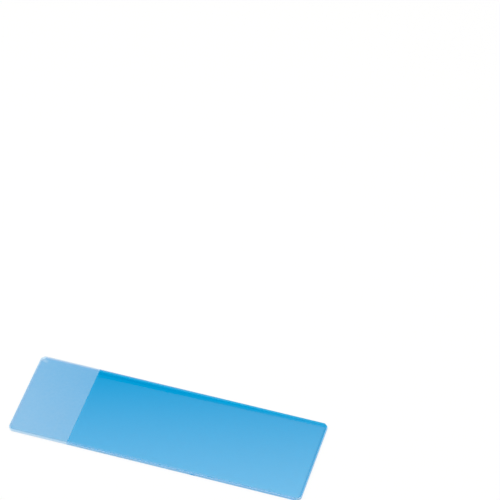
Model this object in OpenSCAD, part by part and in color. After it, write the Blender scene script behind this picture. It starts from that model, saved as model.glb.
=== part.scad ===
// Microscope slide: one sheet of clear glass cut to size, with ground edges, clipped
// corners, and one end of the top face frosted so that it takes a pencil.
// It is made as the real one is: a sheet is cut with stock to spare, its edges are
// ground by passes of one section, and the panel is then ground into the top face.
//
// The slide lies flat. X runs along its length, with the frosted end at -X, and Y runs
// across it. Z = 0 is the underside, and the origin is the centre of the underside.

/* [Glass] */
// Length of the slide
slide_l = 76; // [60:0.5:95]
// Width of the slide
slide_w = 26; // [20:0.5:52]
// Thickness of the glass
slide_t = 0.9; // [0.7:0.05:1.5]

/* [Ground edges] */
// Width of the 45 degree arris that is ground along the edges of both faces
arris = 0.15; // [0.05:0.01:0.25]
// Distance from the end of a side to where it starts to turn into the corner clip
corner_run = 1.2; // [1:0.05:3]
// Radius that eases both ends of each corner clip
clip_ease = 0.8; // [0.3:0.05:0.9]

/* [Frosted end] */
// Length of the frosted panel, from the end of the slide
frost_l = 15.5; // [10:0.1:25]
// Depth to which the panel is ground below the polished face
frost_depth = 0.015; // [0.005:0.005:0.04]

/* [Hidden] */

// Fine enough for the eased corners
$fn = 96;
// Turn of the outline from a side to a clip, which is half of a square corner's
clip_turn = 90 / 2;
// Distance from the centre of the slide to its ends and to its long sides
half_l = slide_l / 2;
half_w = slide_w / 2;
// Glass left all round the cut blank, for grinding
stock = 0.3;
// How far a cutter passes the faces that it cuts through
overcut = 1;
// Depth of a grinding pass beyond its edge, enough to reach the corner of the blank
pass_depth = corner_run + 2 * stock;
// Length of a straight grinding pass, which leaves the slide at both ends
pass_run = slide_l + slide_w;

// Section of what grinding takes off: all that lies beyond a ground edge at reach
function ground_off(reach) = [
    [reach - arris, -overcut],
    [reach - arris, 0],
    [reach, arris],
    [reach, slide_t - arris],
    [reach - arris, slide_t],
    [reach - arris, slide_t + overcut],
    [reach + pass_depth, slide_t + overcut],
    [reach + pass_depth, -overcut]
];

// The sheet of glass as cut, before its edges are ground
module cut_blank() {
    translate([-half_l - stock, -half_w - stock, 0])
        cube([slide_l + 2 * stock, slide_w + 2 * stock, slide_t]);
}

// A straight pass, which grinds the edge that faces +X at reach
module straight_pass(reach) {
    rotate([90, 0, 0])
        linear_extrude(height = pass_run, center = true)
            polygon(ground_off(reach));
}

// A turning pass, which eases a corner through clip_turn, from the direction that it starts in
module easing_pass(start) {
    rotate_extrude(angle = clip_turn, start = start)
        polygon(ground_off(clip_ease));
}

// The passes along the two ends and the two long sides
module side_passes() {
    for (turn = [0, 180]) {
        rotate([0, 0, turn])
            straight_pass(half_l);
        rotate([0, 0, turn + 90])
            straight_pass(half_w);
    }
}

// The passes that clip one corner. The clip's flat lies clip_ease from both easing centres,
// so that it runs into both easings without a step.
module corner_passes() {
    translate([half_l - corner_run, half_w - clip_ease, 0]) {
        easing_pass(start = 90 - clip_turn);
        rotate([0, 0, clip_turn])
            straight_pass(clip_ease);
    }
    translate([half_l - clip_ease, half_w - corner_run, 0])
        easing_pass(start = 0);
}

// Puts its children at all four corners
module at_corners() {
    for (x_end = [0, 1], y_end = [0, 1])
        mirror([x_end, 0, 0])
            mirror([0, y_end, 0])
                children();
}

// All that grinding the frosted panel takes off the top face
module panel_cut() {
    translate([-half_l - overcut, -half_w - overcut, slide_t - frost_depth])
        cube([frost_l + overcut, slide_w + 2 * overcut, frost_depth + overcut]);
}

module glass_slide() {
    color([0.47, 0.73, 0.88])
        difference() {
            cut_blank();
            side_passes();
            at_corners() corner_passes();
            panel_cut();
        }
}

glass_slide();
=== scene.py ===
"""Microscope slide: a sheet of blue-tinted glass with ground edges and a frosted end.

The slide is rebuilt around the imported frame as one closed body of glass. Its faces are polished,
its edges are ground, and one end of its top face is frosted. It lies on a pale floor under soft
light. Lengths are in metres.
"""

import logging
import math
import random
from dataclasses import dataclass, field, replace
from enum import Enum
from typing import Callable, ClassVar, Iterable

import bmesh
import bpy
from mathutils import Matrix, Vector, noise


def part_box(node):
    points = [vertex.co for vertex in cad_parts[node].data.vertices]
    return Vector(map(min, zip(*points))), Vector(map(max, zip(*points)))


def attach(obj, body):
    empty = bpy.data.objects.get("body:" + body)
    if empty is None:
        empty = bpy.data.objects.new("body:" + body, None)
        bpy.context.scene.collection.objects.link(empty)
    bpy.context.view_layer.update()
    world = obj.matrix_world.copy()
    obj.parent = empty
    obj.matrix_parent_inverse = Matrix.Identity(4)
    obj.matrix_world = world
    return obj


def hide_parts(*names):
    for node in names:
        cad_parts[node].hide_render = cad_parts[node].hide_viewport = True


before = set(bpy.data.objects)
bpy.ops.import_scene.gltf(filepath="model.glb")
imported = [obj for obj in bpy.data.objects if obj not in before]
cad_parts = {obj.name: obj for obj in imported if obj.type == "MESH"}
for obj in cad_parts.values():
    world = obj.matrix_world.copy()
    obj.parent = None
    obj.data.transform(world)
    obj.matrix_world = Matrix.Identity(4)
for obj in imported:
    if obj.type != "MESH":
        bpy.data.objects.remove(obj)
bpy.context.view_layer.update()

LOG = logging.getLogger("slide")

MM = 0.001
Colour = tuple[float, float, float]
WHITE: Colour = (1.0, 1.0, 1.0)


# --------------------------------------------------------------------------------------
# Helpers for nodes and objects
# --------------------------------------------------------------------------------------


class NodeTree:
    """Thin layer over a node tree that places nodes, sets their values and links them."""

    # Numbers of the sockets that a Mix node has for colours
    MIX_FACTOR = 0
    MIX_FIRST = 6
    MIX_SECOND = 7
    MIX_RESULT = 2

    def __init__(self, tree: bpy.types.NodeTree) -> None:
        """Keep the tree, of a material or a group, that nodes go into."""
        self.tree = tree

    @classmethod
    def of(cls, material: bpy.types.Material) -> "NodeTree":
        """Give a new material an empty tree.

        Args:
            material: The material.

        Returns:
            Its tree.
        """
        material.use_nodes = True
        material.node_tree.nodes.clear()
        return cls(material.node_tree)

    def add(
        self,
        kind: str,
        values: dict[str | int, object] | None = None,
        **attributes: object,
    ) -> bpy.types.Node:
        """Place one node.

        Args:
            kind: The node's type, such as "ShaderNodeMath".
            values: Input sockets by name or number. A socket is linked, and anything else is set.
            **attributes: Settings of the node itself, such as operation.

        Returns:
            The new node.
        """
        node = self.tree.nodes.new(kind)
        for name, value in attributes.items():
            setattr(node, name, value)
        for name, value in (values or {}).items():
            socket = node.inputs[name]
            if isinstance(value, bpy.types.NodeSocket):
                self.tree.links.new(value, socket)
            else:
                socket.default_value = value
        return node

    def math(
        self,
        operation: str,
        first: object,
        second: object,
        clamp: bool = False,
    ) -> bpy.types.NodeSocket:
        """Do one sum with sockets or numbers, and hold it from 0 to 1 if it is clamped."""
        values = {0: first, 1: second}
        return self.add("ShaderNodeMath", values, operation=operation, use_clamp=clamp).outputs[0]

    def mix(self, factor: object, first: object, second: object) -> bpy.types.NodeSocket:
        """Mix two colours, where the factor is the share of the second."""
        values = {self.MIX_FACTOR: factor, self.MIX_FIRST: first, self.MIX_SECOND: second}
        return self.add("ShaderNodeMix", values, data_type="RGBA").outputs[self.MIX_RESULT]

    def place(self) -> bpy.types.NodeSocket:
        """Give the place on the object, as a vector."""
        return self.add("ShaderNodeTexCoord").outputs["Object"]

    def place_parts(self) -> bpy.types.bpy_prop_collection:
        """Give the place on the object, as the three sockets X, Y and Z."""
        return self.add("ShaderNodeSeparateXYZ", {"Vector": self.place()}).outputs

    def surface(self, shader: bpy.types.Node) -> None:
        """Make a shader the surface of the tree's material."""
        self.add("ShaderNodeOutputMaterial", {"Surface": shader.outputs[0]})


def rgba(colour: Colour) -> tuple[float, float, float, float]:
    """Give a colour its full alpha."""
    return (*colour, 1.0)


def add_object(
    name: str,
    mesh: bmesh.types.BMesh,
    materials: Iterable[bpy.types.Material],
) -> bpy.types.Object:
    """Turn a mesh into an object of the scene.

    Args:
        name: The name of the object and of its mesh.
        mesh: The shape, which is freed.
        materials: The object's materials, in the order of their slots.

    Returns:
        The object.
    """
    data = bpy.data.meshes.new(name)
    mesh.to_mesh(data)
    mesh.free()
    for material in materials:
        data.materials.append(material)
    made = bpy.data.objects.new(name, data)
    bpy.context.scene.collection.objects.link(made)
    return made


# --------------------------------------------------------------------------------------
# Effects that the finishes share
# --------------------------------------------------------------------------------------


class GrainGroup:
    """Node group for a worked glass surface: cloudy mottling, a fine grain and a painted light
    gradient.

    Its inputs are Colour, Pale colour, Painted light drift and those of NUMBERS. Its outputs are
    Colour,
    Roughness and Height. Paleness is the share of the pale colour at the origin, and Painted light
    drift is how much it rises for each metre along X, Y and Z: painted light and shade, paler to
    one side.
    """

    NAME = "glass_grain"
    NUMBERS = (
        "Paleness",
        "Mottle",
        "Mottle size",
        "Grain",
        "Grain size",
        "Roughness",
        "Roughness spread",
    )
    CLOUD_DETAIL = 3.0
    GRAIN_DETAIL = 2.0
    NOISE_MIDDLE = 0.5

    @classmethod
    def get(cls) -> bpy.types.NodeTree:
        """Give the group, which is built the first time that it is wanted."""
        group = bpy.data.node_groups.get(cls.NAME)
        return group if group else cls._build()

    @classmethod
    def _build(cls) -> bpy.types.NodeTree:
        """Make the group.

        Returns:
            The new group.
        """
        group = bpy.data.node_groups.new(cls.NAME, "ShaderNodeTree")
        face = group.interface
        face.new_socket("Colour", in_out="INPUT", socket_type="NodeSocketColor")
        face.new_socket("Pale colour", in_out="INPUT", socket_type="NodeSocketColor")
        face.new_socket("Painted light drift", in_out="INPUT", socket_type="NodeSocketVector")
        for name in cls.NUMBERS:
            face.new_socket(name, in_out="INPUT", socket_type="NodeSocketFloat")
        face.new_socket("Colour", in_out="OUTPUT", socket_type="NodeSocketColor")
        face.new_socket("Roughness", in_out="OUTPUT", socket_type="NodeSocketFloat")
        face.new_socket("Height", in_out="OUTPUT", socket_type="NodeSocketFloat")

        nodes = NodeTree(group)
        given = nodes.add("NodeGroupInput").outputs
        place = nodes.place()
        cloud = cls._noise(nodes, place, given["Mottle size"], cls.CLOUD_DETAIL)
        grain = cls._noise(nodes, place, given["Grain size"], cls.GRAIN_DETAIL)
        cloud_swing = cls._swing(nodes, cloud, given["Mottle"])
        grain_swing = cls._swing(nodes, grain, given["Grain"])
        # Painted light and shade: the drift makes one side of the surface paler and the other
        # deeper.
        painted_light_drift = nodes.add(
            "ShaderNodeVectorMath",
            {0: place, 1: given["Painted light drift"]},
            operation="DOT_PRODUCT",
        ).outputs["Value"]
        swing = nodes.math("ADD", nodes.math("ADD", cloud_swing, grain_swing), painted_light_drift)
        paleness = nodes.math("ADD", swing, given["Paleness"], clamp=True)
        colour = nodes.mix(paleness, given["Colour"], given["Pale colour"])
        rough_swing = cls._swing(nodes, cloud, given["Roughness spread"])
        rough = nodes.math("ADD", given["Roughness"], rough_swing, clamp=True)
        nodes.add("NodeGroupOutput", {"Colour": colour, "Roughness": rough, "Height": grain})
        return group

    @staticmethod
    def _noise(
        nodes: NodeTree,
        place: bpy.types.NodeSocket,
        size: bpy.types.NodeSocket,
        detail: float,
    ) -> bpy.types.NodeSocket:
        """Give a noise from 0 to 1, with blotches of the given size and finer detail in them."""
        values = {"Vector": place, "Scale": nodes.math("DIVIDE", 1.0, size), "Detail": detail}
        return nodes.add("ShaderNodeTexNoise", values).outputs["Fac"]

    @classmethod
    def _swing(
        cls,
        nodes: NodeTree,
        level: bpy.types.NodeSocket,
        reach: bpy.types.NodeSocket,
    ) -> bpy.types.NodeSocket:
        """Turn a noise into a swing to both sides of 0, as wide as the reach."""
        return nodes.math("MULTIPLY", nodes.math("SUBTRACT", level, cls.NOISE_MIDDLE), reach)


# --------------------------------------------------------------------------------------
# Finishes of the glass
# --------------------------------------------------------------------------------------


@dataclass(frozen=True)
class PaintedLight:
    """A soft band of painted light or shade along a straight line, over part of a finish.

    Attributes:
        colour: The colour of the painted light or shade.
        middle: Where its middle is, along X and Y.
        slope: How much the line rises along Y for each step along X.
        half_length: How far it reaches to each side of its middle, along X.
        half_width: How far it reaches to each side of its line, along Y.
        left_x: Where along X it starts at the earliest.
        top_z: Height above which there is none of it.
    """

    colour: Colour
    middle: tuple[float, float]
    slope: float
    half_length: float
    half_width: float
    left_x: float
    top_z: float

    def over(self, nodes: NodeTree, colour: bpy.types.NodeSocket) -> bpy.types.NodeSocket:
        """Lay the painted light or shade over a colour.

        Args:
            nodes: The material's nodes.
            colour: The finish's own colour.

        Returns:
            The colour with the painted light or shade in it.
        """
        place = nodes.place_parts()
        along = nodes.math("SUBTRACT", place["X"], self.middle[0])
        line = nodes.math("ADD", nodes.math("MULTIPLY", along, self.slope), self.middle[1])
        across = nodes.math("SUBTRACT", place["Y"], line)
        soft = nodes.math(
            "MULTIPLY",
            self._fall(nodes, along, self.half_length),
            self._fall(nodes, across, self.half_width),
        )
        held = nodes.math(
            "MULTIPLY",
            nodes.math("GREATER_THAN", place["X"], self.left_x),
            nodes.math("LESS_THAN", place["Z"], self.top_z),
        )
        return nodes.mix(nodes.math("MULTIPLY", soft, held), colour, rgba(self.colour))

    @staticmethod
    def _fall(nodes: NodeTree, gap: bpy.types.NodeSocket, reach: float) -> bpy.types.NodeSocket:
        """Fall smoothly from 1 where the gap is none to 0 where it equals the reach."""
        part = nodes.math("DIVIDE", gap, reach)
        return nodes.math("SUBTRACT", 1.0, nodes.math("MULTIPLY", part, part), clamp=True)


@dataclass(frozen=True)
class Texture:
    """How rough and how uneven a finish is.

    Attributes:
        roughness: Its mean roughness.
        roughness_spread: How far the mottling swings the roughness.
        mottle: How far the mottling swings the colour.
        mottle_size: Size of the mottling's blotches.
        grain: How far the grain swings the colour.
        grain_size: Size of the grain.
        bump_height: Height of the grain, or 0 for none.
    """

    roughness: float
    roughness_spread: float
    mottle: float
    mottle_size: float
    grain: float = 0.0
    grain_size: float = 1.0 * MM
    bump_height: float = 0.0


@dataclass(frozen=True)
class Inside:
    """How a ground surface looks from within the glass.

    Attributes:
        roughness: Its roughness.
        colour: The tint of what it lets out.
        ior: The refractive index that it has there. Close to 1 it lets light out at any slant.
    """

    GLASS_IOR: ClassVar[float] = 1.52

    roughness: float
    colour: Colour = WHITE
    ior: float = GLASS_IOR

    def shader(self, nodes: NodeTree) -> bpy.types.Node:
        """Make the shader for the inner side."""
        values = {
            "Base Color": rgba(self.colour),
            "Roughness": self.roughness,
            "IOR": self.ior,
            "Transmission Weight": 1.0,
        }
        return nodes.add("ShaderNodeBsdfPrincipled", values)


@dataclass(frozen=True)
class GlassFinish:
    """How one part of the glass's surface is worked, and how it takes the light.

    Attributes:
        name: The material's name.
        colour: Its deeper colour.
        pale_colour: Its paler colour.
        transmission: How much of the light goes into the glass.
        texture: How rough and how uneven it is.
        painted_light_drift: How much the share of the paler colour rises for each metre along X, Y
            and Z, painting one side lighter and the other darker as the light falls.
        paleness: The share of the paler colour at the origin.
        inside: How it looks from within the glass, where that differs.
        painted_light: A band of painted light or shade over it, if it has one.
    """

    name: str
    colour: Colour
    pale_colour: Colour
    transmission: float
    texture: Texture
    painted_light_drift: tuple[float, float, float] = (0.0, 0.0, 0.0)
    paleness: float = 0.5
    inside: Inside | None = None
    painted_light: PaintedLight | None = None

    def material(self) -> bpy.types.Material:
        """Make the finish's material.

        Returns:
            A Principled material whose colour, roughness and bump come from the shared grain group.
        """
        material = bpy.data.materials.new(self.name)
        nodes = NodeTree.of(material)
        grain = self._grain(nodes)
        colour = grain["Colour"]
        if self.painted_light is not None:
            colour = self.painted_light.over(nodes, colour)
        values = {
            "Base Color": colour,
            "Roughness": grain["Roughness"],
            "IOR": Inside.GLASS_IOR,
            "Transmission Weight": self.transmission,
        }
        if self.texture.bump_height:
            bump = {"Distance": self.texture.bump_height, "Height": grain["Height"]}
            values["Normal"] = nodes.add("ShaderNodeBump", bump).outputs["Normal"]
        shader = nodes.add("ShaderNodeBsdfPrincipled", values)
        if self.inside is not None:
            within = nodes.add("ShaderNodeNewGeometry").outputs["Backfacing"]
            inner = self.inside.shader(nodes)
            sides = {0: within, 1: shader.outputs[0], 2: inner.outputs[0]}
            shader = nodes.add("ShaderNodeMixShader", sides)
        nodes.surface(shader)
        return material

    def _grain(self, nodes: NodeTree) -> bpy.types.bpy_prop_collection:
        """Place the shared grain group with the finish's own values, and give its outputs."""
        values = {
            "Colour": rgba(self.colour),
            "Pale colour": rgba(self.pale_colour),
            "Painted light drift": self.painted_light_drift,
            "Paleness": self.paleness,
            "Mottle": self.texture.mottle,
            "Mottle size": self.texture.mottle_size,
            "Grain": self.texture.grain,
            "Grain size": self.texture.grain_size,
            "Roughness": self.texture.roughness,
            "Roughness spread": self.texture.roughness_spread,
        }
        return nodes.add("ShaderNodeGroup", values, node_tree=GrainGroup.get()).outputs


POLISH = Texture(roughness=0.012, roughness_spread=0.03, mottle=0.3, mottle_size=4 * MM)
ROLLED_POLISH = Texture(roughness=0.06, roughness_spread=0.04, mottle=0.2, mottle_size=2 * MM)
GROUND = Texture(
    roughness=0.5,
    roughness_spread=0.15,
    mottle=0.5,
    mottle_size=0.5 * MM,
    grain=0.4,
    grain_size=0.08 * MM,
    bump_height=0.004 * MM,
)
COARSE_GROUND = replace(GROUND, mottle=1.0, grain=0.8)
BROKEN = replace(
    GROUND,
    roughness=0.2,
    roughness_spread=0.1,
    grain=0.2,
    bump_height=0.002 * MM,
)
FROST = Texture(
    roughness=0.4,
    roughness_spread=0.1,
    mottle=0.55,
    mottle_size=0.8 * MM,
    grain=0.4,
    grain_size=0.12 * MM,
    bump_height=0.004 * MM,
)
RIM_FROST = replace(FROST, mottle=0.4, grain=0.3)
FADING_FROST = replace(FROST, roughness=0.25, mottle=0.8, grain=0.5, bump_height=0.002 * MM)

CLEAR_INSIDE = Inside(roughness=0.1)
OPEN_INSIDE = Inside(roughness=0.3, colour=(0.1, 0.43, 0.70), ior=1.05)
PALE_INSIDE = replace(OPEN_INSIDE, colour=(0.45, 0.70, 0.90))


class Finish(Enum):
    """The finishes of the slide. Their order is the order of the material slots."""

    # Each finish's painted_light_drift is painted light and shade: its surface is paler to one side
    # and deeper to the other, as the light falls.
    POLISHED = GlassFinish(
        name="polished_glass",
        colour=(0.0, 0.355, 0.712),
        pale_colour=(0.001, 0.385, 0.772),
        painted_light_drift=(-9.0, 16.0, 0.0),
        transmission=1.0,
        texture=POLISH,
        # Painted shadow: a deeper line on the underside inside the far edge of the clear part,
        # where the ground edge's shadow falls under the glass.
        painted_light=PaintedLight(
            colour=(0.0, 0.275, 0.64),
            middle=(-12.0 * MM, 12.12 * MM),
            slope=0.016,
            half_length=24.0 * MM,
            half_width=0.6 * MM,
            left_x=-22.5 * MM,
            top_z=0.1 * MM,
        ),
    )
    # Partly painted shade: the rolled rim is a real roll-off, and its colour is a touch deeper than
    # the polished face to stand in for the ground edge's shadow.
    ROLLED = GlassFinish(
        name="rolled_rim",
        colour=(0.0, 0.345, 0.69),
        pale_colour=(0.001, 0.375, 0.745),
        painted_light_drift=(-13.0, 30.0, 0.0),
        transmission=1.0,
        texture=ROLLED_POLISH,
    )
    LIP = GlassFinish(
        name="glass_lip",
        colour=(0.0, 0.36, 0.72),
        pale_colour=(0.001, 0.44, 0.80),
        painted_light_drift=(0.0, 38.0, 0.0),
        transmission=1.0,
        texture=ROLLED_POLISH,
        # Painted highlight: a paler, greyer band along the far lip of the clear part, where the lip
        # catches the light.
        painted_light=PaintedLight(
            colour=(0.42, 0.49, 0.83),
            middle=(-22.5 * MM, 12.75 * MM),
            slope=0.0,
            half_length=34.0 * MM,
            half_width=0.5 * MM,
            left_x=-22.5 * MM,
            top_z=1.0 * MM,
        ),
    )
    # Painted shadow: a deeper ring on the underside inside the lip, where the ground edge's shadow
    # falls under the glass.
    PAINTED_SHADOW_RIM = GlassFinish(
        name="painted_shadow_rim",
        colour=(0.0, 0.29, 0.64),
        pale_colour=(0.001, 0.31, 0.66),
        transmission=1.0,
        texture=ROLLED_POLISH,
    )
    FROSTED = GlassFinish(
        name="frosted_glass",
        colour=(0.367, 0.498, 0.805),
        pale_colour=(0.667, 0.628, 0.875),
        painted_light_drift=(-31.0, -24.0, 0.0),
        paleness=-0.44,
        transmission=0.75,
        texture=FROST,
        # Painted highlight: a pale patch inside the far corner of the frosted end.
        painted_light=PaintedLight(
            colour=(1.0, 0.76, 0.93),
            middle=(-37.6 * MM, 11.8 * MM),
            slope=-0.35,
            half_length=2.0 * MM,
            half_width=0.7 * MM,
            left_x=-40.0 * MM,
            top_z=1.0 * MM,
        ),
    )
    FROSTED_RIM = GlassFinish(
        name="frosted_rim",
        colour=(0.29, 0.48, 0.73),
        pale_colour=(0.63, 0.76, 0.90),
        painted_light_drift=(0.0, 200.0, 0.0),
        paleness=-1.5,
        transmission=0.4,
        texture=RIM_FROST,
    )
    FROST_FADE = GlassFinish(
        name="frost_fade",
        colour=(0.10, 0.41, 0.76),
        pale_colour=(0.22, 0.47, 0.80),
        transmission=0.85,
        texture=FADING_FROST,
    )
    WALL = GlassFinish(
        name="ground_wall",
        colour=(0.25, 0.62, 1.0),
        pale_colour=(0.41, 0.72, 1.0),
        painted_light_drift=(-14.0, 0.0, 0.0),
        paleness=0.42,
        transmission=0.3,
        texture=GROUND,
        inside=CLEAR_INSIDE,
    )
    ARRIS = GlassFinish(
        name="ground_arris",
        colour=(0.26, 0.60, 0.98),
        pale_colour=(0.37, 0.64, 1.0),
        painted_light_drift=(14.0, 0.0, 0.0),
        paleness=0.35,
        transmission=0.3,
        texture=GROUND,
        inside=OPEN_INSIDE,
    )
    # Painted highlight: the corner clips are a paler copy of the arris finish, where the corners
    # catch the light.
    CLIP = GlassFinish(
        name="ground_clip",
        colour=(0.42, 0.70, 0.98),
        pale_colour=(0.52, 0.76, 1.0),
        transmission=0.3,
        texture=GROUND,
        inside=OPEN_INSIDE,
    )
    NICK = GlassFinish(
        name="shiny_nick",
        colour=(0.0, 0.44, 0.94),
        pale_colour=(0.02, 0.48, 0.98),
        transmission=0.3,
        texture=BROKEN,
        inside=OPEN_INSIDE,
    )
    FROSTED_WALL = GlassFinish(
        name="frosted_wall",
        colour=(0.54, 0.76, 0.94),
        pale_colour=(0.61, 0.81, 0.97),
        transmission=0.2,
        texture=COARSE_GROUND,
        inside=CLEAR_INSIDE,
    )
    FROSTED_ARRIS = GlassFinish(
        name="frosted_arris",
        colour=(0.41, 0.66, 0.89),
        pale_colour=(0.49, 0.72, 0.93),
        transmission=0.2,
        texture=COARSE_GROUND,
        inside=PALE_INSIDE,
    )

    @property
    def slot(self) -> int:
        """Number of the finish's material slot."""
        return list(Finish).index(self)


# --------------------------------------------------------------------------------------
# The slide
# --------------------------------------------------------------------------------------


@dataclass(frozen=True)
class Chip:
    """One small chip in an edge, deepest at its centre."""

    centre: Vector
    reach: float
    depth: float

    def depth_at(self, place: Vector) -> float:
        """Find how deep the chip is at a point, which is less than 0 outside it."""
        return self.depth * (1 - ((place - self.centre).length / self.reach) ** 2)


@dataclass
class GlassSlide:
    """The sheet of glass, with clipped corners, ground edges and a frosted panel.

    Attributes:
        node: The CAD node that the piece stands for.
        corner_run: Distance from the end of a side to where it starts to turn into a clip.
        clip_ease: Radius that eases both ends of each clip.
        arris: Width of the 45 degree arris along the edges of both faces.
        lip: Width of the lip inside the arris.
        lip_drop: How far a face falls over its lip.
        roll_off: Width of the gentler strip inside the lip.
        roll_off_drop: How far a face falls over that strip.
        frost_l: Length of the frosted panel.
        frost_depth: How far it lies below the polished face.
        frost_fade: Width over which it ends.
        ease_segments: How many faces ease one end of a clip.
        grind_step: Least length of the strips that the walls are divided into.
        wall_rows: How many rows of points lie between a wall's two arrises.
        wall_ripple: Depth of the waves in the walls.
        arris_ripple: Depth of the waves in the arrises.
        ripple_size: Size of those waves.
        chip_count: How many small chips the edges have.
        chip_reach: Least and most reach of a chip.
        chip_depth: Least and most depth of a chip.
        highlight_corner: Leg of the triangle at the far corner of the frosted end that takes a
            paler finish, a painted highlight.
        nick_place: Where the one larger nick of the near edge is, along X and Z.
        nick_reach: Half of its length and half of its height.
        nick_depth: Its depth.
        nick_margin: How far outside it the wall is still divided, as a share.
        nick_cuts: How many cuts divide each edge there.
        seed: Seed of the random draws.
        low: Lowest corner of the slide's box.
        high: Highest corner of the slide's box.
    """

    # Turn of the outline from a side to a clip
    CLIP_TURN: ClassVar[float] = math.radians(45)
    # Turn between two faces above which the shading breaks
    CREASE: ClassVar[float] = math.radians(25)
    # Points that lie closer than this are one
    MERGE: ClassVar[float] = 0.0001 * MM
    # How far from a row of points a height still counts as that row's
    SLACK: ClassVar[float] = 0.001 * MM
    # A face's least share of an upright normal, from dead flat to slanting. A wall has less.
    FLAT: ClassVar[float] = 0.99999
    GENTLE: ClassVar[float] = 0.9995
    LEVEL: ClassVar[float] = 0.95
    SLANTING: ClassVar[float] = 0.3
    # Least ratio of a normal's smaller level part to its larger, on a face that turns a corner
    CORNERING: ClassVar[float] = 0.4
    # Least share of an edge's length that rises, on an upright edge
    UPRIGHT: ClassVar[float] = 0.9
    # Share of the larger nick on the far edge, which is beyond any margin
    NOWHERE: ClassVar[float] = -2.0

    node: str = "glass_slide"
    corner_run: float = 1.2 * MM
    clip_ease: float = 0.8 * MM
    arris: float = 0.15 * MM
    lip: float = 0.2 * MM
    lip_drop: float = 0.013 * MM
    roll_off: float = 0.4 * MM
    roll_off_drop: float = 0.005 * MM
    frost_l: float = 15.5 * MM
    frost_depth: float = 0.015 * MM
    frost_fade: float = 0.2 * MM
    ease_segments: int = 8
    grind_step: float = 0.3 * MM
    wall_rows: int = 3
    wall_ripple: float = 0.006 * MM
    arris_ripple: float = 0.009 * MM
    ripple_size: float = 1.3 * MM
    chip_count: int = 34
    chip_reach: tuple[float, float] = (0.2 * MM, 0.5 * MM)
    chip_depth: tuple[float, float] = (0.01 * MM, 0.04 * MM)
    highlight_corner: float = 1.75 * MM
    nick_place: tuple[float, float] = (10.2 * MM, 0.37 * MM)
    nick_reach: tuple[float, float] = (0.75 * MM, 0.27 * MM)
    nick_depth: float = 0.05 * MM
    nick_margin: float = 1.0
    nick_cuts: int = 3
    seed: int = 26
    low: Vector = field(init=False)
    high: Vector = field(init=False)

    def __post_init__(self) -> None:
        """Read the slide's box from the frame."""
        low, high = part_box(self.node)
        self.low = Vector(low)
        self.high = Vector(high)

    @property
    def size(self) -> Vector:
        """Length, width and thickness."""
        return self.high - self.low

    @property
    def ease_run(self) -> float:
        """Distance along a side from where its easing starts to where the sharp corner would be."""
        return self.clip_ease * math.tan(self.CLIP_TURN / 2)

    @property
    def frost_line(self) -> float:
        """Where along X the frosted panel ends."""
        return self.low.x + self.frost_l

    def build(self) -> bpy.types.Object:
        """Model the slide, dress it and put it on its body.

        Returns:
            The finished piece.
        """
        mesh = bmesh.new()
        self._cut_sheet(mesh)
        self._clip_corners(mesh)
        self._grind_arrises(mesh)
        self._divide_walls(mesh)
        self._divide_nick(mesh)
        self._roughen_edges(mesh)
        self._sink_panel(mesh)
        bmesh.ops.remove_doubles(mesh, verts=mesh.verts, dist=self.MERGE)
        bmesh.ops.recalc_face_normals(mesh, faces=mesh.faces)
        self._finish_faces(mesh)
        return self._make_piece(mesh)

    def _cut_sheet(self, mesh: bmesh.types.BMesh) -> None:
        """Start with the plain sheet, the size of the slide's box.

        Args:
            mesh: The empty mesh.
        """
        centre = Matrix.Translation((self.low + self.high) / 2)
        size = Matrix.Diagonal((*self.size, 1.0))
        bmesh.ops.create_cube(mesh, size=1.0, matrix=centre @ size)

    def _clip_corners(self, mesh: bmesh.types.BMesh) -> None:
        """Clip the four corners and ease both ends of each clip.

        Args:
            mesh: The plain sheet.
        """
        leg = self.corner_run - self.ease_run
        for offset, segments in ((leg, 1), (self.ease_run, self.ease_segments)):
            bmesh.ops.bevel(
                mesh,
                geom=[edge for edge in mesh.edges if self._is_upright(edge)],
                offset=offset,
                offset_type="OFFSET",
                segments=segments,
                profile=0.5,
                affect="EDGES",
                material=-1,
                clamp_overlap=False,
            )

    def _grind_arrises(self, mesh: bmesh.types.BMesh) -> None:
        """Divide the walls into narrow strips, then grind the arris along the edges of both faces.

        Inside the arris a face rolls off to a narrow lip, as polishing leaves it.

        Args:
            mesh: The clipped sheet.
        """
        mesh.normal_update()
        for wall in [face for face in mesh.faces if abs(face.normal.z) < self.SLANTING]:
            level = [edge for edge in wall.edges if not self._is_upright(edge)]
            cuts = int(level[0].calc_length() / self.grind_step)
            if cuts:
                bmesh.ops.subdivide_edges(mesh, edges=level, cuts=cuts)
        mesh.normal_update()
        middle = self.size.z / 2
        rings = (
            (self.arris, self.arris - self.lip_drop - self.roll_off_drop),
            (self.lip, self.lip_drop),
            (self.roll_off, self.roll_off_drop),
        )
        for way in (1, -1):
            flat = [face for face in mesh.faces if face.normal.z * way > self.LEVEL]
            for width, drop in rings:
                bmesh.ops.inset_region(
                    mesh,
                    faces=flat,
                    thickness=width,
                    depth=0.0,
                    use_even_offset=True,
                )
                held = {vert for face in flat for vert in face.verts}
                side = [vert for vert in mesh.verts if (vert.co.z - middle) * way > 0]
                outside = [vert for vert in side if vert not in held]
                bmesh.ops.translate(mesh, verts=outside, vec=(0.0, 0.0, -way * drop))
            mesh.normal_update()

    def _divide_walls(self, mesh: bmesh.types.BMesh) -> None:
        """Add rows of points up the walls.

        Args:
            mesh: The sheet with its arrises.
        """
        uprights = [edge for edge in mesh.edges if self._is_upright(edge)]
        bmesh.ops.subdivide_edges(mesh, edges=uprights, cuts=self.wall_rows, use_grid_fill=True)
        mesh.normal_update()

    def _divide_nick(self, mesh: bmesh.types.BMesh) -> None:
        """Divide the near wall finely round the one larger nick.

        Args:
            mesh: The sheet with its rows.
        """
        walls = [face for face in mesh.faces if abs(face.normal.z) < self.SLANTING]
        least = -self.nick_margin
        near = {wall for wall in walls if self._nick_share(wall.calc_center_median()) > least}
        edges = [edge for edge in mesh.edges if any(face in near for face in edge.link_faces)]
        bmesh.ops.subdivide_edges(mesh, edges=edges, cuts=self.nick_cuts, use_grid_fill=True)
        mesh.normal_update()

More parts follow.
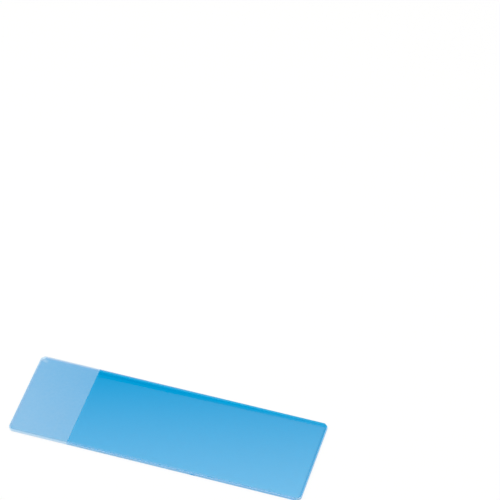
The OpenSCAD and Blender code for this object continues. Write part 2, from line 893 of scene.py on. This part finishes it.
    def _roughen_edges(self, mesh: bmesh.types.BMesh) -> None:
        """Give the ground edges the waves and chips that grinding leaves, and the larger nick.

        They fade out over the lip and the roll-off, so that the outline of the flat stays straight.

        Args:
            mesh: The sheet with ground edges.
        """
        inward = {vert: self._inward(vert.co) for vert in mesh.verts}
        chips = self._chips()
        wall_top = self.high.z - self.arris
        wall_bottom = self.low.z + self.arris
        whole_drop = self.lip_drop + self.roll_off_drop
        for vert, way in inward.items():
            place = vert.co.copy()
            wave = (noise.noise(place / self.ripple_size) + 1) / 2
            if wall_bottom + self.SLACK < place.z < wall_top - self.SLACK:
                nick = max(0.0, self._nick_share(place)) * self.nick_depth
                vert.co += way * (wave * self.wall_ripple + nick)
            elif place.z > wall_top + self.SLACK or place.z < wall_bottom - self.SLACK:
                below = min(self.high.z - place.z, place.z - self.low.z)
                share = min(1.0, below / whole_drop)
                chip = max(0.0, *(each.depth_at(place) for each in chips))
                vert.co += way * share * (wave * self.arris_ripple + chip)
        mesh.normal_update()

    def _sink_panel(self, mesh: bmesh.types.BMesh) -> None:
        """Grind the frosted panel a little below the polished face.

        Args:
            mesh: The sheet with ground edges.
        """
        for x in (self.frost_line, self.frost_line + self.frost_fade):
            bmesh.ops.bisect_plane(
                mesh,
                geom=mesh.verts[:] + mesh.edges[:] + mesh.faces[:],
                dist=self.MERGE,
                plane_co=(x, 0.0, 0.0),
                plane_no=(1.0, 0.0, 0.0),
            )
        reach = self.frost_line + self.frost_fade / 2
        panel_z = self.high.z - self.frost_depth
        for vert in mesh.verts:
            if vert.co.x < reach:
                vert.co.z = min(vert.co.z, panel_z)
        mesh.normal_update()

    def _chips(self) -> list[Chip]:
        """Scatter the small chips along the outline.

        Returns:
            The chips.
        """
        draw = random.Random(self.seed)
        half_l, half_w = self.size.x / 2, self.size.y / 2
        chips = []
        for _ in range(self.chip_count):
            along = draw.uniform(-1.0, 1.0)
            side = draw.choice((-1.0, 1.0))
            on_end = draw.random() < self.size.y / (self.size.x + self.size.y)
            plan = (side * half_l, along * half_w) if on_end else (along * half_l, side * half_w)
            z = draw.choice((self.low.z, self.high.z))
            reach = draw.uniform(*self.chip_reach)
            depth = draw.uniform(*self.chip_depth)
            chips.append(Chip(Vector((*plan, z)), reach, depth))
        return chips

    def _inward(self, place: Vector) -> Vector:
        """Find the way from a point on the outline into the glass.

        Args:
            place: A point near the outline.

        Returns:
            A level vector of length 1.
        """
        middle_run = self.size.x / 2 - self.corner_run
        middle_width = self.size.y / 2 - self.corner_run
        core_x = max(-middle_run, min(middle_run, place.x))
        core_y = max(-middle_width, min(middle_width, place.y))
        return (Vector((core_x, core_y, place.z)) - place).normalized()

    def _nick_share(self, place: Vector) -> float:
        """Find how far into the one larger nick a point of the near edge lies.

        Args:
            place: The point.

        Returns:
            1 in the middle of the nick, 0 on its rim and less outside it.
        """
        if place.y > 0:
            return self.NOWHERE
        along = (place.x - self.nick_place[0]) / self.nick_reach[0]
        up = (place.z - self.low.z - self.nick_place[1]) / self.nick_reach[1]
        return 1 - along * along - up * up

    def _in_highlight_corner(self, place: Vector) -> bool:
        """Tell whether a point lies by the far corner of the frosted end, where a paler finish
        paints a highlight.
        """
        return self.high.y - place.y + place.x - self.low.x < self.highlight_corner

    def _is_cornering(self, face: bmesh.types.BMFace) -> bool:
        """Tell whether a face of the outline is one that turns a corner."""
        smaller, larger = sorted((abs(face.normal.x), abs(face.normal.y)))
        return smaller > self.CORNERING * larger

    def _is_upright(self, edge: bmesh.types.BMEdge) -> bool:
        """Tell whether an edge stands upright."""
        run = edge.verts[1].co - edge.verts[0].co
        return abs(run.z) > self.UPRIGHT * run.length

    def _finish_faces(self, mesh: bmesh.types.BMesh) -> None:
        """Say which finish each face has, and where the shading breaks.

        Args:
            mesh: The whole shape.
        """
        for face in mesh.faces:
            finish = self._finish_of(face)
            face.material_index = finish.slot
            face.smooth = finish not in (Finish.POLISHED, Finish.FROSTED)
        for edge in mesh.edges:
            edge.smooth = len(edge.link_faces) == 2 and edge.calc_face_angle() < self.CREASE

    def _finish_of(self, face: bmesh.types.BMFace) -> Finish:
        """Find the finish of one face from where it lies and how it leans.

        Args:
            face: The face.

        Returns:
            Its finish.
        """
        level = abs(face.normal.z)
        centre = face.calc_center_median()
        frosted_end = centre.x < self.frost_line
        if level < self.LEVEL:
            if self._nick_share(centre) > 0.0:
                return Finish.NICK
            if self._is_cornering(face) and not frosted_end:
                return Finish.CLIP
            if level < self.SLANTING:
                return Finish.FROSTED_WALL if frosted_end else Finish.WALL
            return Finish.FROSTED_ARRIS if frosted_end else Finish.ARRIS
        flat = level > self.FLAT
        on_top = centre.z > self.size.z / 2
        if on_top and frosted_end:
            # Painted highlight: the far corner of the frosted end takes the paler frosted wall
            # finish.
            if self._in_highlight_corner(centre):
                return Finish.FROSTED_WALL
            return Finish.FROSTED if flat else Finish.FROSTED_RIM
        if on_top and centre.x < self.frost_line + self.frost_fade:
            return Finish.FROST_FADE
        if flat:
            return Finish.POLISHED
        if level < self.GENTLE:
            return Finish.LIP
        # Under the slide this ring takes the painted shadow finish.
        return Finish.ROLLED if on_top else Finish.PAINTED_SHADOW_RIM

    def _make_piece(self, mesh: bmesh.types.BMesh) -> bpy.types.Object:
        """Turn the mesh into the finished piece.

        Args:
            mesh: The whole shape, which is freed.

        Returns:
            The piece, on its body.
        """
        materials = [finish.value.material() for finish in Finish]
        piece = add_object("slide_glass", mesh, materials)
        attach(piece, "root")
        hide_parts(self.node)
        return piece


# --------------------------------------------------------------------------------------
# Camera and light
# --------------------------------------------------------------------------------------


@dataclass(frozen=True)
class Viewpoint:
    """A camera that looks at the slide from the front, a little from the right, and from above.

    Its angles are in degrees and its lens is in millimetres.
    """

    azimuth: float = 15.19
    elevation: float = 45.39
    roll: float = 2.01
    distance: float = 751.2 * MM
    across: float = 20.39 * MM
    up: float = 44.65 * MM
    lens: float = 216.0
    nearest: float = 0.05
    furthest: float = 20.0

    def axes(self) -> tuple[Vector, Vector, Vector]:
        """Work out the camera's own axes.

        Returns:
            The ways to its right, up and back.
        """
        turn = math.radians(self.azimuth)
        lift = math.radians(self.elevation)
        roll = math.radians(self.roll)
        level = math.cos(lift)
        back = Vector((math.sin(turn) * level, -math.cos(turn) * level, math.sin(lift)))
        right = (-back).cross(Vector((0.0, 0.0, 1.0))).normalized()
        up = right.cross(-back)
        return (
            right * math.cos(roll) + up * math.sin(roll),
            up * math.cos(roll) - right * math.sin(roll),
            back,
        )

    def eye(self) -> Vector:
        """Find where the camera stands."""
        right, up, back = self.axes()
        return back * self.distance + right * self.across + up * self.up

    def reflected(self, point: Vector) -> Vector:
        """Find which way the line of sight to a point goes on when a level face reflects it."""
        sight = (point - self.eye()).normalized()
        return Vector((sight.x, sight.y, -sight.z))

    def make(self) -> None:
        """Create the camera."""
        data = bpy.data.cameras.new("camera")
        data.lens = self.lens
        data.clip_start = self.nearest
        data.clip_end = self.furthest
        camera = bpy.data.objects.new("camera", data)
        turn = Matrix(self.axes()).transposed().to_4x4()
        camera.matrix_world = Matrix.Translation(self.eye()) @ turn
        bpy.context.scene.collection.objects.link(camera)
        bpy.context.scene.camera = camera


@dataclass(frozen=True)
class LightCard:
    """A softly lit card that the polished face reflects, over a dark flag.

    The card stands square to the reflected line of sight. Its lower edge, where the flag
    starts, shows in the glass along a line near the far edge.

    Attributes:
        reach: Distance from the slide to the card.
        edge_left: Where the glass shows the card's lower edge on the left, along X and Y.
        edge_right: Where the glass shows it on the right.
        half_width: Half of the width of the card and the flag.
        height: Height of the card.
        flag_height: Height of the flag.
        tint: Colour of the card's light.
        edge_level: Strength of the light at the middle of the lower edge.
        rise_across: How much it rises for each metre to the right.
        rise_up: How much it rises for each metre up.
        most: The most that it reaches, at the middle.
        most_across: How much that rises for each metre to the right.
        margin: Where the card's dimmer right margin starts, and where it is fully dim.
        margin_level: Share of the light that the margin keeps.
        fringe_depth: How far down the flag its soft fringe reaches.
        fringe_level: Strength of the fringe at the middle.
        fringe_rise: How much it rises for each metre to the right.
        fringe_most: The most that it reaches.
        spill_start: Where to the right light starts to spill over the flag.
        spill_rise: How much the spill rises for each metre from there.
        spill_most: The most that fringe and spill reach together.
    """

    reach: float = 200.0 * MM
    edge_left: tuple[float, float] = (-22.6 * MM, 10.22 * MM)
    edge_right: tuple[float, float] = (30.0 * MM, 11.42 * MM)
    half_width: float = 80.0 * MM
    height: float = 70.0 * MM
    flag_height: float = 10.0 * MM
    tint: Colour = (1.0, 0.86, 0.66)
    edge_level: float = 0.84
    rise_across: float = 0.0175 / MM
    rise_up: float = 0.0876 / MM
    most: float = 3.85
    most_across: float = 0.006 / MM
    margin: tuple[float, float] = (45.5 * MM, 53.5 * MM)
    margin_level: float = 0.5
    fringe_depth: float = 0.8 * MM
    fringe_level: float = 0.1
    fringe_rise: float = 0.012 / MM
    fringe_most: float = 0.27
    spill_start: float = 18.0 * MM
    spill_rise: float = 0.011 / MM
    spill_most: float = 0.6

    def make(self, view: Viewpoint, face_z: float) -> None:
        """Stand the card and its flag where the polished face reflects them.

        Args:
            view: Where the slide is seen from.
            face_z: Height of the polished face.
        """
        target = Vector((0.0, 0.0, face_z))
        way = view.reflected(target)
        middle = target + way * self.reach
        left = self._shown_at(Vector((*self.edge_left, face_z)), view, middle, way)
        right = self._shown_at(Vector((*self.edge_right, face_z)), view, middle, way)
        across = (right - left).normalized()
        up = across.cross(way)
        turn = Matrix((across, up, -way)).transposed().to_4x4()
        place = Matrix.Translation((left + right) / 2) @ turn
        for panel in (
            self._panel("light_card", 0.0, self.height, self._glow()),
            self._panel("dark_flag", -self.flag_height, 0.0, self._dark()),
        ):
            panel.matrix_world = place
            panel.visible_camera = False
            panel.visible_shadow = False

    @staticmethod
    def _shown_at(point: Vector, view: Viewpoint, middle: Vector, way: Vector) -> Vector:
        """Find which point of the plane at middle, square to way, the face shows at one point."""
        ray = view.reflected(point)
        return point + ray * ((middle - point).dot(way) / ray.dot(way))

    def _panel(
        self,
        name: str,
        bottom: float,
        top: float,
        material: bpy.types.Material,
    ) -> bpy.types.Object:
        """Make one flat panel in the card's plane.

        Args:
            name: The panel's name.
            bottom: Its lower edge, above the card's edge line.
            top: Its upper edge.
            material: What it is made of.

        Returns:
            The panel.
        """
        mesh = bmesh.new()
        middle = Matrix.Translation((0.0, (top + bottom) / 2, 0.0))
        size = Matrix.Diagonal((2 * self.half_width, top - bottom, 1.0, 1.0))
        bmesh.ops.create_grid(mesh, size=0.5, matrix=middle @ size)
        return add_object(name, mesh, [material])

    def _glow(self) -> bpy.types.Material:
        """Make the lit card's material, brighter to the right and upwards, with a dim margin.

        Returns:
            The material.
        """
        material = bpy.data.materials.new("card_glow")
        nodes = NodeTree.of(material)
        place = nodes.place_parts()
        across = nodes.math("MULTIPLY", place["X"], self.rise_across)
        upwards = nodes.math("MULTIPLY", place["Y"], self.rise_up)
        level = nodes.math("ADD", nodes.math("ADD", across, upwards), self.edge_level)
        most_rise = nodes.math("MULTIPLY", place["X"], self.most_across)
        most = nodes.math("ADD", most_rise, self.most)
        held = nodes.math("MINIMUM", nodes.math("MAXIMUM", level, 0.0), most)
        fall = {0: place["X"], 1: self.margin[0], 2: self.margin[1], 3: 1.0, 4: self.margin_level}
        margin = nodes.add("ShaderNodeMapRange", fall, clamp=True).outputs[0]
        self._shine(nodes, nodes.math("MULTIPLY", held, margin))
        return material

    def _dark(self) -> bpy.types.Material:
        """Make the flag's material: black, but for a soft fringe at its top and spill on its right.

        Returns:
            The material.
        """
        material = bpy.data.materials.new("flag_dark")
        nodes = NodeTree.of(material)
        place = nodes.place_parts()
        fringe_rise = nodes.math("MULTIPLY", place["X"], self.fringe_rise)
        level = nodes.math("ADD", fringe_rise, self.fringe_level)
        held = nodes.math("MINIMUM", nodes.math("MAXIMUM", level, 0.0), self.fringe_most)
        depth = nodes.math("DIVIDE", place["Y"], self.fringe_depth)
        fringe = nodes.math("MULTIPLY", held, nodes.math("ADD", depth, 1.0, clamp=True))
        beyond = nodes.math("SUBTRACT", place["X"], self.spill_start)
        spill = nodes.math("MULTIPLY", nodes.math("MAXIMUM", beyond, 0.0), self.spill_rise)
        self._shine(nodes, nodes.math("MINIMUM", nodes.math("ADD", fringe, spill), self.spill_most))
        return material

    def _shine(self, nodes: NodeTree, strength: bpy.types.NodeSocket) -> None:
        """Let a panel shine in the card's tint."""
        values = {"Color": rgba(self.tint), "Strength": strength}
        nodes.surface(nodes.add("ShaderNodeEmission", values))


@dataclass(frozen=True)
class Studio:
    """The pale floor, the even light of the room and the soft lamp.

    The floor's fill is how much of it the camera sees as plain white, whatever light falls on
    it. The lamp's power is in watts.
    """

    floor_size: float = 4.0
    floor_gap: float = 0.03 * MM
    floor_colour: Colour = (0.98, 0.98, 0.98)
    floor_fill: float = 0.88
    room_light: float = 0.80
    lamp_power: float = 6.0
    lamp_size: float = 1.2
    lamp_place: tuple[float, float, float] = (-0.5, -0.7, 1.3)

    def make(self) -> None:
        """Set the floor, the room and the lamp."""
        self._floor()
        self._room()
        self._lamp()

    def _floor(self) -> None:
        """Lay the floor a hair below the slide, as any two dry flat things meet."""
        mesh = bmesh.new()
        below = Matrix.Translation((0.0, 0.0, -self.floor_gap))
        bmesh.ops.create_grid(mesh, size=self.floor_size / 2, matrix=below)
        add_object("floor", mesh, [self._white()])

    def _white(self) -> bpy.types.Material:
        """Make the floor's material, which glass and reflections always see as plain white.

        Returns:
            The material.
        """
        material = bpy.data.materials.new("floor_white")
        nodes = NodeTree.of(material)
        path = nodes.add("ShaderNodeLightPath").outputs
        to_camera = nodes.math("MULTIPLY", path["Is Camera Ray"], self.floor_fill)
        to_glass = nodes.math("MAXIMUM", path["Is Glossy Ray"], path["Is Transmission Ray"])
        share = nodes.math("MAXIMUM", to_camera, to_glass)
        lit = nodes.add("ShaderNodeBsdfDiffuse", {"Color": rgba(self.floor_colour)})
        plain = nodes.add("ShaderNodeEmission", {"Color": rgba(WHITE), "Strength": 1.0})
        both = {0: share, 1: lit.outputs[0], 2: plain.outputs[0]}
        nodes.surface(nodes.add("ShaderNodeMixShader", both))
        return material

    def _room(self) -> None:
        """Light the room evenly from all round."""
        world = bpy.data.worlds.new("room")
        world.use_nodes = True
        room = world.node_tree.nodes["Background"]
        room.inputs["Color"].default_value = rgba(WHITE)
        room.inputs["Strength"].default_value = self.room_light
        bpy.context.scene.world = world

    def _lamp(self) -> None:
        """Hang the one large soft lamp."""
        data = bpy.data.lights.new("soft_lamp", "AREA")
        data.shape = "DISK"
        data.size = self.lamp_size
        data.energy = self.lamp_power
        lamp = bpy.data.objects.new("soft_lamp", data)
        lamp.visible_glossy = False
        place = Vector(self.lamp_place)
        turn = place.to_track_quat("Z", "Y").to_matrix().to_4x4()
        lamp.matrix_world = Matrix.Translation(place) @ turn
        bpy.context.scene.collection.objects.link(lamp)


# --------------------------------------------------------------------------------------
# The whole
# --------------------------------------------------------------------------------------


def report(step: str, make: Callable[[], object]) -> None:
    """Run one step and say in the log that it is done.

    Args:
        step: What the step makes.
        make: The step.
    """
    made = make()
    faces = f", {len(made.data.polygons)} faces" if isinstance(made, bpy.types.Object) else ""
    LOG.info("%s%s", step, faces)


def main() -> None:
    """Build the slide, then light it and look at it."""
    logging.basicConfig(level=logging.INFO, format="%(name)s: %(message)s")
    scene = bpy.context.scene
    scene.view_settings.view_transform = "Standard"
    view = Viewpoint()
    slide = GlassSlide()
    report("camera", view.make)
    report("glass slide", slide.build)
    report("studio", Studio().make)
    report("light card", lambda: LightCard().make(view, slide.high.z))


if __name__ == "__main__":
    main()
